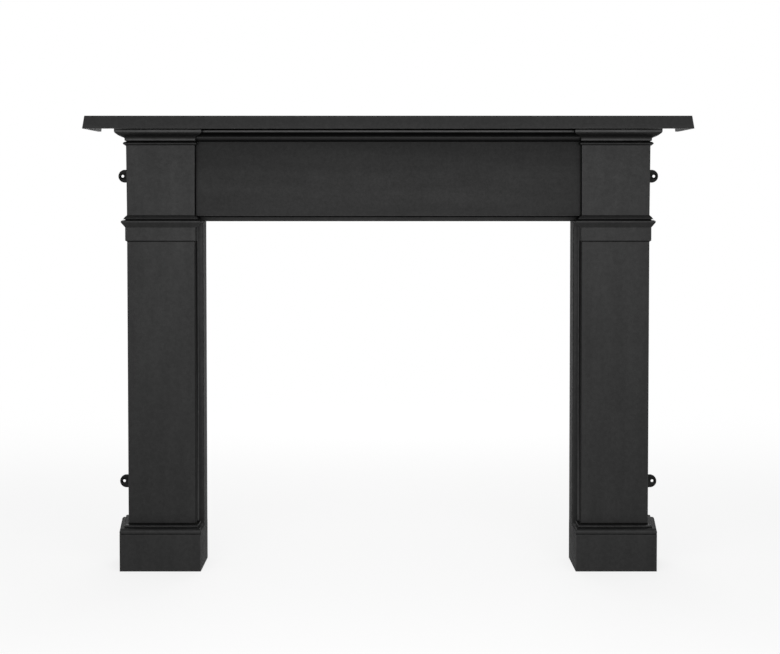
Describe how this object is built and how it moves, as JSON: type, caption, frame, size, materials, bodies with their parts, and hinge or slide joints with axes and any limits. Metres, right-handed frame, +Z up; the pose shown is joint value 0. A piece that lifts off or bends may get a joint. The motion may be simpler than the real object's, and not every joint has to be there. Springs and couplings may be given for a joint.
{
  "type": "cast iron fire surround",
  "caption": "Plain cast iron fire surround: two pilaster legs with plinths and capitals, a recessed frieze, a deep shelf, and lugs for fixing it to a wall.",
  "frame": {"origin": "bottom centre of the whole surround, on the hearth", "axes": "+X along the shelf, +Y back to the wall, +Z up; the front faces -Y"},
  "size_m": [1.5396, 0.2, 1.1695],
  "materials": {
    "cast_iron": "black-leaded cast iron, satin, faintly brushed",
    "lug_iron": "unpolished dark casting skin",
    "steel_fixings": "zinc-plated steel"
  },
  "bodies": {
    "root": {"left_leg": "cast_iron", "right_leg": "cast_iron", "frieze": "cast_iron", "mantelshelf": "cast_iron", "left_lower_lug": "lug_iron", "left_lower_lug_screw": "steel_fixings", "left_upper_lug": "lug_iron", "left_upper_lug_screw": "steel_fixings", "right_lower_lug": "lug_iron", "right_lower_lug_screw": "steel_fixings", "right_upper_lug": "lug_iron", "right_upper_lug_screw": "steel_fixings", "left_lower_clamp_bolt": "steel_fixings", "left_lower_clamp_leg_washer": "steel_fixings", "left_lower_clamp_frieze_washer": "steel_fixings", "left_lower_clamp_nut": "steel_fixings", "left_upper_clamp_bolt": "steel_fixings", "left_upper_clamp_leg_washer": "steel_fixings", "left_upper_clamp_frieze_washer": "steel_fixings", "left_upper_clamp_nut": "steel_fixings", "right_lower_clamp_bolt": "steel_fixings", "right_lower_clamp_leg_washer": "steel_fixings", "right_lower_clamp_frieze_washer": "steel_fixings", "right_lower_clamp_nut": "steel_fixings", "right_upper_clamp_bolt": "steel_fixings", "right_upper_clamp_leg_washer": "steel_fixings", "right_upper_clamp_frieze_washer": "steel_fixings", "right_upper_clamp_nut": "steel_fixings", "shelf_bolt_1": "steel_fixings", "shelf_washer_1": "steel_fixings", "shelf_bolt_2": "steel_fixings", "shelf_washer_2": "steel_fixings", "shelf_bolt_3": "steel_fixings", "shelf_washer_3": "steel_fixings", "shelf_bolt_4": "steel_fixings", "shelf_washer_4": "steel_fixings", "shelf_bolt_5": "steel_fixings", "shelf_washer_5": "steel_fixings", "shelf_bolt_6": "steel_fixings", "shelf_washer_6": "steel_fixings"}
  },
  "joints": []
}
